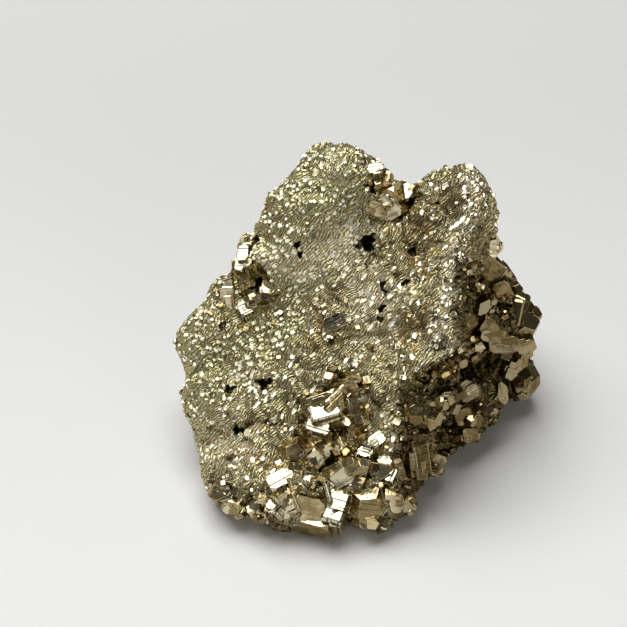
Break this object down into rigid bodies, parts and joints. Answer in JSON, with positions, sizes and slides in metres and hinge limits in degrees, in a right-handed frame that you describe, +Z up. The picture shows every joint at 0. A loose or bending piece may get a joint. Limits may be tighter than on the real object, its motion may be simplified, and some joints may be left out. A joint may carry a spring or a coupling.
{
  "type": "pyrite cluster",
  "caption": "Palm-sized cluster of intergrown pyrite crystals: a rough slanting mass with two peaks, a crystal pocket at its foot and a flank of flat-faced crystals.",
  "frame": {"origin": "centre of the outline box on the surface that the rock rests on", "axes": "+X across the great slanting face to the right flank, +Y from the pocket at the foot to the back, +Z up"},
  "size_m": [0.0624, 0.0574, 0.047],
  "materials": {
    "pyrite": "pale brassy metallic crystal faces, fine striations and a rough druse of tiny crystals"
  },
  "bodies": {
    "root": {"pyrite_mass": "pyrite"}
  },
  "joints": []
}
